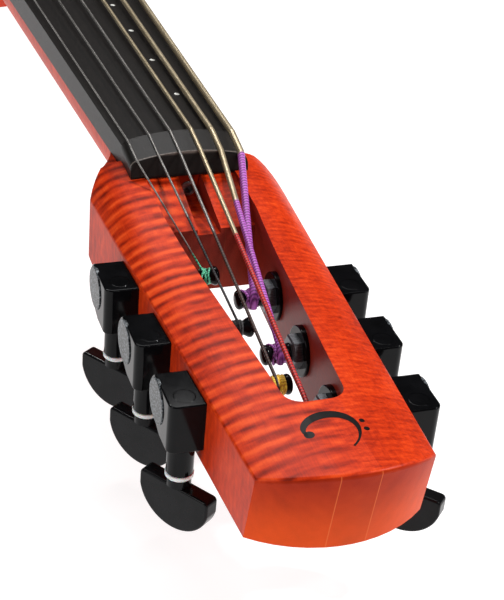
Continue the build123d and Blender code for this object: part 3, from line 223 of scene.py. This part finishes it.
STAIN = (
    (0.24, linear(126, 26, 5)),
    (0.40, linear(180, 42, 8)),
    (0.54, linear(212, 58, 14)),
    (0.72, linear(238, 84, 30)),
)
# painted light and shade of the end face: lighter at its foot, where the floor lights it, darker at its top
LIT_END_FOOT, SHADED_END_TOP = linear(232, 84, 18), linear(140, 30, 6)
GLUE_COLOUR = linear(236, 120, 64)
# painted shade of the slot's walls, darker than the stain of the top
SHADED_WALL_DARK, SHADED_WALL_LIGHT = linear(96, 30, 26), linear(140, 44, 34)


def maple_figure(s, x, facing_up):
    """How light the figure is: cross flame on top of the treble half, quieter elsewhere."""
    curl = s.noise((0.14, 0.4, 0.14), 3.0, 0.5)
    patches = s.step(s.noise((0.07, 0.05, 0.07), 2.0), 0.36, 0.62)
    flame = s.minus(s.bands((0.3, 1.0, 0.3), FLAME_SPACING, 7.0, 0.14), 0.5)
    flame = s.times(flame, s.plus(patches, 0.35))
    fine_flame = s.minus(s.bands((0.2, 1.0, 0.2), FINE_SPACING, 10.0, 0.2), 0.5)
    on_top = s.step(facing_up, 0.35, 0.75)

    strong = s.plus(s.times(flame, 0.44), s.times(fine_flame, 0.08))
    strong = s.plus(strong, s.plus(s.times(curl, 0.7), 0.13))

    quilt = s.minus(s.noise((0.55, 0.9, 0.4), 2.0, 0.5), 0.5)
    quilt = s.times(quilt, s.times(on_top, 0.5))
    ripple = s.times(s.times(fine_flame, on_top), 0.09)
    quiet = s.plus(s.plus(s.times(curl, 0.55), 0.2), s.plus(ripple, quilt))

    share = s.times(s.step(x, 3.0, -3.0), on_top)
    return s.plus(s.times(strong, share), s.times(quiet, s.minus(1.0, share)))


def shade_end(s, colour, x, z, end_face):
    """The bowed end with painted light and shade: lighter at its foot, darker towards its top, with the glue
    lines of the centre strip.
    """
    # painted light and shade: the end face is drawn lighter at its foot and darker towards its top
    shade = s.ramp(s.step(z, END_FOOT_Z, END_TOP_Z), (0.0, LIT_END_FOOT), (1.0, SHADED_END_TOP))
    shade = s.mix(0.25, shade, colour)
    colour = s.mix(s.times(end_face, 0.9), colour, shade)
    off_line = s.size_of(s.minus(s.size_of(x), GLUE_LINE_X))
    glue = s.times(s.step(off_line, GLUE_LINE_EDGE, GLUE_LINE_CORE), end_face)
    return s.mix(s.times(glue, 0.55), colour, GLUE_COLOUR)


def shade_slot(s, colour, x, y, facing_up, fibre):
    """The walls of the slot: painted shade, darker than the stain, and bare of figure."""
    edge = s.plus(s.times(y, SLOT_TAPER), SLOT_HALF_WIDTH + WALL_REACH)
    wall = s.math("LESS_THAN", s.size_of(x), edge)
    wall = s.times(wall, s.math("GREATER_THAN", y, SLOT_START))
    wall = s.times(wall, s.math("LESS_THAN", y, SLOT_END))
    wall = s.times(wall, s.step(facing_up, 0.6, 0.3))
    # painted shade: the walls inside the slot are drawn darker than the wood around them
    shaded_wall_colour = s.ramp(fibre, (0.3, SHADED_WALL_DARK), (0.7, SHADED_WALL_LIGHT))
    return s.mix(s.times(wall, 0.85), colour, shaded_wall_colour)


def flamed_maple():
    """Orange-red stained maple of the head, the neck and the body's top."""
    s = Shader("stained flamed maple")
    at = s.split(s.place())
    facing = s.normal()
    end_face = s.step(facing["Y"], -0.6, -0.85)
    fibre = s.noise((2.6, 0.09, 2.6), 4.0, 0.65)
    drift = s.minus(s.noise((0.03, 0.02, 0.03), 2.0), 0.5)
    figure = maple_figure(s, at["X"], facing["Z"])
    tone = s.plus(s.times(figure, 0.72), s.times(fibre, 0.28))
    tone = s.plus(tone, s.times(drift, 0.35))
    colour = s.ramp(tone, *STAIN)
    colour = shade_end(s, colour, at["X"], at["Z"], end_face)
    colour = shade_slot(s, colour, at["X"], at["Y"], facing["Z"], fibre)
    s.set(
        Base_Color=colour,
        Roughness=s.plus(s.times(fibre, 0.12), 0.34),
        Specular_IOR_Level=s.minus(0.12, s.times(end_face, 0.05)),
    )
    s.bump(s.plus(fibre, s.times(figure, 0.6)), 0.12, 0.2 * MM)
    return s.material


def stained_side():
    """The same stain over the plainer wood of the body's core."""
    s = Shader("stained plain maple")
    fibre = s.noise((1.4, 0.05, 1.4), 4.0, 0.6)
    cloud = s.noise((0.02, 0.012, 0.02), 2.0)
    tone = s.plus(s.times(fibre, 0.6), s.times(cloud, 0.4))
    colour = s.ramp(tone, (0.3, linear(168, 42, 24)), (0.7, linear(216, 66, 34)))
    s.set(Base_Color=colour, Roughness=0.38, Specular_IOR_Level=0.35)
    s.bump(fibre, 0.1, 0.2 * MM)
    return s.material


NUT_EDGE_Y = 204.75
NUT_EDGE_OUTER, NUT_EDGE_INNER = 0.55, 0.1
NUT_EDGE_LOW_Z, NUT_EDGE_HIGH_Z = 14.0, 16.0
EBONY_GRAIN = (
    (0.30, linear(13, 10, 9)),
    (0.55, linear(25, 21, 19)),
    (0.80, linear(54, 45, 41)),
)
# pale line on the nut's front edge: partly painted highlight, partly wear
SHEEN_AND_WEAR_EBONY = linear(176, 160, 150)


def ebony():
    """Near-black wood with fine open grain, and a pale line on the nut's front edge that is partly painted
    highlight and partly wear.
    """
    s = Shader("oiled ebony")
    at = s.split(s.place())
    grain = s.noise((2.4, 0.05, 2.4), 5.0, 0.7)
    pores = s.noise((6.0, 0.25, 6.0), 3.0, 0.6)
    colour = s.ramp(s.plus(s.times(grain, 0.7), s.times(pores, 0.3)), *EBONY_GRAIN)
    # a pale line along the nut's front top edge, partly painted highlight and partly wear, broken up by the
    # pores
    edge = s.step(s.size_of(s.minus(at["Y"], NUT_EDGE_Y)), NUT_EDGE_OUTER, NUT_EDGE_INNER)
    edge = s.times(edge, s.step(at["Z"], NUT_EDGE_LOW_Z, NUT_EDGE_HIGH_Z))
    sheen_and_wear = s.times(edge, s.step(pores, 0.35, 0.6))
    s.set(
        Base_Color=s.mix(s.times(sheen_and_wear, 0.55), colour, SHEEN_AND_WEAR_EBONY),
        Roughness=s.plus(s.times(pores, 0.25), 0.3),
        Specular_IOR_Level=0.2,
    )
    s.bump(grain, 0.25, 0.2 * MM)
    return s.material


def bridge_maple():
    """Pale bare maple with the grain across the bridge and short flecks."""
    s = Shader("unstained bridge maple")
    fibre = s.noise((0.12, 1.2, 1.2), 4.0, 0.6)
    flecks = s.noise((0.6, 2.0, 0.35), 3.0, 0.7)
    tone = s.plus(s.times(fibre, 0.65), s.times(flecks, 0.35))
    colour = s.ramp(tone, (0.3, linear(178, 136, 88)), (0.7, linear(222, 188, 138)))
    s.set(Base_Color=colour, Roughness=0.5)
    s.bump(tone, 0.12, 0.2 * MM)
    return s.material


# ---------------------------------------------------------------- metals and plastics
def lacquered(name, dark, light, roughness, coat=0.04):
    """An even glossy coat, with the faint cloudiness and orange peel of real lacquer."""
    s = Shader(name)
    cloud = s.noise((0.12, 0.12, 0.12), 4.0)
    peel = s.noise((1.6, 1.6, 1.6), 2.0)
    s.set(
        Base_Color=s.ramp(cloud, (0.3, dark), (0.7, light)),
        Roughness=s.plus(s.times(cloud, 0.06), roughness),
        Coat_Weight=coat,
        Coat_Roughness=0.06,
        Specular_IOR_Level=0.11,
    )
    s.bump(peel, 0.04, 0.03 * MM)
    return s.material


GRANITE = (
    (0.36, linear(16, 18, 20)),
    (0.46, linear(26, 29, 32)),
    (0.53, linear(48, 53, 56)),
    (0.64, linear(128, 134, 138)),
)


def granite_cover():
    """Dark cap with pale and mid-grey specks."""
    s = Shader("speckled cap")
    cells = s.nodes.new("ShaderNodeTexVoronoi")
    cells.inputs["Scale"].default_value = 1.1
    s.links.new(s.place(), cells.inputs["Vector"])
    specks = s.noise((1.3, 1.3, 1.3), 6.0, 0.75)
    tone = s.plus(s.times(specks, 0.75), s.times(cells.outputs[0], 0.3))
    s.set(Base_Color=s.ramp(tone, *GRANITE), Roughness=0.3, Specular_IOR_Level=0.2)
    s.bump(specks, 0.08, 0.1 * MM)
    return s.material


def machined(name, dark, light, roughness=0.3, metallic=1.0):
    """Turned or cut metal with fine tool marks."""
    s = Shader(name)
    marks = s.noise((0.4, 7.0, 7.0), 3.0, 0.6)
    s.set(
        Base_Color=s.ramp(marks, (0.35, dark), (0.65, light)),
        Roughness=s.plus(s.times(marks, 0.2), roughness - 0.1),
        Metallic=metallic,
    )
    s.bump(marks, 0.08, 0.05 * MM)
    return s.material


def white_nylon():
    s = Shader("white nylon")
    cloud = s.noise((0.8, 0.8, 0.8), 3.0)
    s.set(
        Base_Color=s.ramp(cloud, (0.3, linear(212, 216, 216)), (0.7, linear(240, 242, 241))),
        Roughness=0.35,
        Subsurface_Weight=0.2,
        Subsurface_Scale=MM,
    )
    return s.material


# ---------------------------------------------------------------- strings and silk
WINDING_SPACING, SILK_SPACING, LOOSE_SILK_SPACING = 0.35, 1.5, 0.9
SILK_FADE = 0.6
STRING_METAL = 0.85


def wound_string(name, metal_colours, silk_colours, silk_start):
    """A tape-wound string whose end, from a place on its way to the post, is served in silk."""
    s = Shader(name)
    along = s.split(s.place())["Y"]
    winding = s.bands((0.0, 1.0, 0.0), WINDING_SPACING, 0.3, 2.0)
    cloud = s.noise((0.4, 0.05, 0.4), 3.0)
    dark, light = metal_colours
    metal = s.ramp(s.times(s.plus(winding, cloud), 0.5), (0.3, dark), (0.7, light))
    twist = s.bands((0.9, 1.0, 0.9), SILK_SPACING, 1.0, 1.5)
    fuzz = s.noise((3.0, 1.2, 3.0), 3.0)
    dark, light = silk_colours
    thread = s.ramp(s.times(s.plus(twist, fuzz), 0.5), (0.25, dark), (0.7, light))
    served = s.step(along, silk_start + SILK_FADE, silk_start - SILK_FADE)
    s.set(
        Base_Color=s.mix(served, metal, thread),
        Metallic=s.times(s.minus(1.0, served), STRING_METAL),
        Roughness=0.4,
    )
    s.bump(s.plus(winding, s.times(s.times(twist, served), 3.0)), 0.22, 0.1 * MM)
    return s.material


def silk(name, dark, light):
    """Loose coloured thread, matt with a fine twist."""
    s = Shader(name)
    twist = s.bands((1.3, 1.0, 1.0), LOOSE_SILK_SPACING, 2.0, 2.0)
    fuzz = s.noise((3.0, 3.0, 3.0), 3.0)
    tone = s.times(s.plus(twist, fuzz), 0.5)
    s.set(
        Base_Color=s.ramp(tone, (0.25, dark), (0.75, light)),
        Roughness=0.62,
        Sheen_Weight=0.3,
    )
    s.bump(tone, 0.5, 0.2 * MM)
    return s.material


PURPLE = (linear(104, 36, 112), linear(206, 112, 214))
RED = (linear(120, 20, 24), linear(214, 54, 50))
TEAL = (linear(30, 140, 104), linear(110, 226, 180))
GOLD = (linear(214, 150, 14), linear(255, 220, 60))
BLACK_SILK = (linear(14, 14, 15), linear(58, 58, 60))
DARK_SILK = (linear(36, 24, 22), linear(82, 60, 52))

SILVER = (linear(96, 92, 88), linear(176, 172, 168))
BRONZE = (linear(164, 146, 116), linear(224, 208, 176))

# string number: metal colours, silk colours, how far from the head's end the silk starts
STRINGS = {
    1: (SILVER, TEAL, 157.0),
    2: (SILVER, BLACK_SILK, 166.0),
    3: (SILVER, DARK_SILK, 150.0),
    4: (BRONZE, RED, 145.0),
    5: (BRONZE, PURPLE, 170.0),
    6: (BRONZE, PURPLE, 203.0),
}

# ---------------------------------------------------------------- a material for every piece
MATERIALS = {
    "flamed_wood": flamed_maple(),
    "body_wood": stained_side(),
    "ebony": ebony(),
    "bridge_maple": bridge_maple(),
    "black_hardware": lacquered("gloss black casting", linear(5, 5, 6), linear(12, 12, 14), 0.07),
    "black_steel": lacquered("black plated steel", linear(7, 7, 8), linear(18, 18, 20), 0.12),
    "button_black": lacquered("dark satin button", linear(13, 13, 14), linear(24, 24, 26), 0.13),
    "granite_cover": granite_cover(),
    "white_washer": white_nylon(),
    "bushing_steel": machined(
        "dark bushing", linear(60, 62, 66), linear(128, 130, 134), roughness=0.32, metallic=0.7
    ),
    "wheel_brass": machined("cut brass", linear(150, 108, 44), linear(222, 176, 92)),
    "dot_white": lacquered(
        "pearl dot", linear(226, 226, 220), linear(250, 250, 246), roughness=0.25, coat=0.3
    ),
    "rod_steel": machined("machined steel", linear(110, 110, 112), linear(196, 196, 198)),
}
MATERIALS["centre_wood"] = MATERIALS["flamed_wood"]


def dress(obj, material):
    """Gives a piece one material and takes away any other."""
    obj.data.materials.clear()
    obj.data.materials.append(material)


slots = {part["node"]: part["material_slot"] for part in frame["record"]["subparts"]}
string_nodes = {f"string_{number}": number for number in STRINGS}
for node, obj in frame["nodes"].items():
    if node in string_nodes:
        number = string_nodes[node]
        dress(obj, wound_string(f"string {number}", *STRINGS[number]))
    else:
        dress(obj, MATERIALS[slots[node]])


# ---------------------------------------------------------------- silk round the posts
def tube(name, points, radius, material, body):
    """A round thread along a list of points."""
    curve = bpy.data.curves.new(name, "CURVE")
    curve.dimensions = "3D"
    curve.bevel_depth = radius
    curve.bevel_resolution = 3
    curve.use_fill_caps = True
    spline = curve.splines.new("POLY")
    spline.points.add(len(points) - 1)
    for point, place in zip(spline.points, points):
        point.co = (*place, 1.0)
    curve.materials.append(material)
    obj = bpy.data.objects.new(name, curve)
    bpy.context.scene.collection.objects.link(obj)
    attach(obj, body)
    return obj


# in millimetres: a post's tip from its joint, and the radius of the waist it is wound on
POST_REACH = 48.0
WAIST_RADIUS = 2.7
STEPS_PER_TURN = 20
# how far a thread wanders along its post and stands off it, for an unevenness of 1
WANDER, STAND_OFF = 1.1, 1.1
WANDER_WAVES, STAND_OFF_WAVES = 2.3, 1.7

# string number: silk colours, thread radius, first and last turn from the post's tip, turns,
# unevenness; all lengths in millimetres
COILS = {
    1: (TEAL, 0.45, 4.8, 8.8, 4, 0.75),
    2: (BLACK_SILK, 0.50, 5.4, 9.4, 4, 0.12),
    3: (GOLD, 0.75, 3.4, 9.0, 4, 0.12),
    4: (RED, 0.60, 4.0, 9.0, 4, 0.15),
    5: (PURPLE, 0.58, 4.2, 9.6, 5, 0.65),
    6: (PURPLE, 0.60, 3.6, 10.2, 5, 0.75),
}


def coil_points(axis_point, radius, start, end, turns, uneven, phase):
    """The middle of a thread wound unevenly round a post."""
    side = 1 if axis_point.x > 0 else -1
    tip = axis_point - HEAD_X * (side * POST_REACH * MM)
    points = []
    steps = turns * STEPS_PER_TURN
    for i in range(steps + 1):
        angle = 2 * math.pi * i / STEPS_PER_TURN
        along = start + (end - start) * i / steps
        along += uneven * WANDER * math.sin(WANDER_WAVES * angle + phase)
        lift = 1.0 + uneven * STAND_OFF * (1 + math.sin(STAND_OFF_WAVES * angle + 2 * phase))
        reach = WAIST_RADIUS + radius * lift
        offset = HEAD_X * (side * along)
        offset += HEAD_Y * (reach * math.cos(angle)) + HEAD_Z * (reach * math.sin(angle))
        points.append(tip + offset * MM)
    return points


draw = random.Random(7)
for number, (colours, radius, start, end, turns, uneven) in COILS.items():
    axis_point = Vector(joints[f"post_{number}_turn"]["pos_m"])
    material = silk(f"silk {number}", *colours)
    phase = draw.uniform(0, 2 * math.pi)
    points = coil_points(axis_point, radius, start, end, turns, uneven, phase)
    obj = tube(f"post_silk_{number}", points, radius * MM, material, f"post_{number}")

# ---------------------------------------------------------------- clef inlaid in the head
head_surface = []
for name in ("neck_left_lamination", "neck_centre_lamination", "neck_right_lamination"):
    mesh = frame["nodes"][name].data
    head_surface.append(
        BVHTree.FromPolygons([v.co for v in mesh.vertices], [p.vertices for p in mesh.polygons])
    )
INLAY_PROUD = 0.06 * MM
# in millimetres: a height well over the head's top, and about that of the top itself
ABOVE_CROWN_Z, CROWN_Z = 40.0, 6.0


def on_crown(x, y):
    """The head's top at a place of its own plan, or about there where the plan has no wood."""
    start = from_head(x, y, ABOVE_CROWN_Z)
    hits = [tree.ray_cast(start, -HEAD_Z)[0] for tree in head_surface]
    hits = [place for place in hits if place is not None]
    place = max(hits, key=lambda p: p.dot(HEAD_Z)) if hits else from_head(x, y, CROWN_Z)
    return place + HEAD_Z * INLAY_PROUD


def ribbon(name, strokes, material):
    """Flat strokes laid on the crown; each is a centre line of (x, y, half width)."""
    verts, faces = [], []
    for stroke in strokes:
        first = len(verts)
        count = len(stroke)
        for i, (x, y, half) in enumerate(stroke):
            ahead = stroke[min(i + 1, count - 1)]
            behind = stroke[max(i - 1, 0)]
            run = Vector((ahead[0] - behind[0], ahead[1] - behind[1]))
            side = Vector((-run.y, run.x)).normalized() * half
            for part in (-1, 0, 1):
                verts.append(on_crown(x + part * side.x, y + part * side.y))
        for i in range(count - 1):
            a = first + 3 * i
            for part in (0, 1):
                faces.append((a + part, a + part + 1, a + part + 4, a + part + 3))
    mesh = bpy.data.meshes.new(name)
    mesh.from_pydata(verts, [], faces)
    mesh.update()
    mesh.materials.append(material)
    obj = bpy.data.objects.new(name, mesh)
    bpy.context.scene.collection.objects.link(obj)
    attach(obj, "instrument")
    return obj


# the clef's place and size in millimetres, and how much wider than high it is drawn
CLEF_X, CLEF_Y, CLEF_SIZE = 0.0, 10.5, 19.0
CLEF_STRETCH = 1.35
HOOK_STEPS, DISC_STEPS = 44, 14
HOOK_START, HOOK_SWEEP = 200, 262  # degrees
THINNEST = 0.01
# (u, v, radius) of the hook's ball and of the two dots, in clef sizes
CLEF_DISCS = ((-0.42, 0.02, 0.105), (0.44, 0.24, 0.06), (0.44, -0.02, 0.06))


def clef_place(u, v):
    """A place on the head's plan; u and v go across and along the head, in clef sizes."""
    return CLEF_X + CLEF_STRETCH * CLEF_SIZE * u, CLEF_Y + CLEF_SIZE * v


def disc(u, v, radius):
    """A round spot as a stroke that widens and narrows."""
    x, y = clef_place(u, v)
    r = radius * CLEF_SIZE
    stroke = []
    for i in range(DISC_STEPS + 1):
        t = -1 + 2 * i / DISC_STEPS
        half_chord = r * math.sqrt(max(1 - t * t, 0))
        stroke.append((x + r * t, y, max(half_chord, THINNEST)))
    return stroke


def hook():
    """The clef's arc, which opens out and is widest near its middle."""
    stroke = []
    for i in range(HOOK_STEPS + 1):
        t = i / HOOK_STEPS
        turn = math.radians(HOOK_START - HOOK_SWEEP * t)
        reach_across = 0.40 * (0.85 + 0.35 * t)
        reach_along = 0.34 + 0.34 * t**1.6
        u = -0.12 + reach_across * math.cos(turn)
        v = 0.10 + reach_along * math.sin(turn)
        width = 0.022 + 0.085 * math.sin(math.pi * min(t * 1.1, 1.0)) ** 1.3
        stroke.append((*clef_place(u, v), width * CLEF_SIZE))
    return stroke


inlay_black = lacquered("black inlay", linear(9, 8, 8), linear(20, 17, 16), 0.4)
clef = ribbon("head_inlay", [hook()] + [disc(*spot) for spot in CLEF_DISCS], inlay_black)

# ---------------------------------------------------------------- floor and light
FLOOR_SIZE = 80.0
FLOOR_GAP = 0.5 * MM
FLOOR_GREYS = ((0.36, 0.36, 0.36, 1), (0.40, 0.40, 0.40, 1))
FLOOR_GLOW = 0.85
bpy.ops.mesh.primitive_plane_add(size=FLOOR_SIZE, location=(0, 0, -FLOOR_GAP))
floor = bpy.context.object
floor.name = "floor"
floor_shader = Shader("pale floor")
paper = floor_shader.noise((0.02, 0.02, 0.02), 3.0)
dark_grey, light_grey = FLOOR_GREYS
floor_shader.set(
    Base_Color=floor_shader.ramp(paper, (0.2, dark_grey), (0.8, light_grey)),
    Roughness=0.9,
    Emission_Color=(1.0, 1.0, 1.0, 1.0),
    Emission_Strength=FLOOR_GLOW,
)
floor.data.materials.append(floor_shader.material)

bpy.context.scene.view_settings.view_transform = "Standard"

world = bpy.data.worlds.new("studio")
bpy.context.scene.world = world
world.use_nodes = True
background = world.node_tree.nodes["Background"]
background.inputs["Color"].default_value = (0.95, 0.97, 1.0, 1)
background.inputs["Strength"].default_value = 0.05

head_middle = from_head(0, 100, 0)
body_middle = Vector((0, 0.5, 0.05))
# name: what it lights, its place from there, its two sides, and its power in watts
SOFTBOXES = {
    "key": (head_middle, (0.95, -0.25, 1.05), (0.12, 0.12), 17.5),
    "left_soft": (head_middle, (-1.1, -0.3, 0.65), (0.35, 0.7), 4.2),
    "edge_strip": (head_middle, (-0.25, 0.9, 1.25), (0.4, 0.05), 5),
    "glint": (head_middle, (0.25, -1.5, 1.0), (0.06, 0.3), 5),
    "body_light": (body_middle, (0.3, 0.1, 1.55), (0.8, 0.8), 12),
}
for name, (target, offset, sides, power) in SOFTBOXES.items():
    data = bpy.data.lights.new(name, "AREA")
    data.shape = "RECTANGLE"
    data.size, data.size_y = sides
    data.energy = power
    lamp = bpy.data.objects.new(name, data)
    lamp.location = target + Vector(offset)
    lamp.rotation_euler = (-Vector(offset)).to_track_quat("-Z", "Y").to_euler()
    bpy.context.scene.collection.objects.link(lamp)

# ---------------------------------------------------------------- camera
CAMERA_PLACE = from_head(-192.6, -390.4, 340.0)
CAMERA_FORWARD = head_direction(0.3044, 0.7884, -0.5345)
CAMERA_RIGHT = head_direction(0.9468, -0.3119, 0.0791)
CAMERA_LENS = 91.73
camera_data = bpy.data.cameras.new("camera")
camera_data.lens = CAMERA_LENS
camera_data.sensor_width = 36.0
camera_data.sensor_fit = "AUTO"
camera_data.clip_start = 0.01
camera = bpy.data.objects.new("camera", camera_data)
forward = CAMERA_FORWARD.normalized()
right = (CAMERA_RIGHT - forward * CAMERA_RIGHT.dot(forward)).normalized()
up = right.cross(forward)
turn = Matrix((right, up, -forward)).transposed()
camera.matrix_world = Matrix.Translation(CAMERA_PLACE) @ turn.to_4x4()
bpy.context.scene.collection.objects.link(camera)
bpy.context.scene.camera = camera
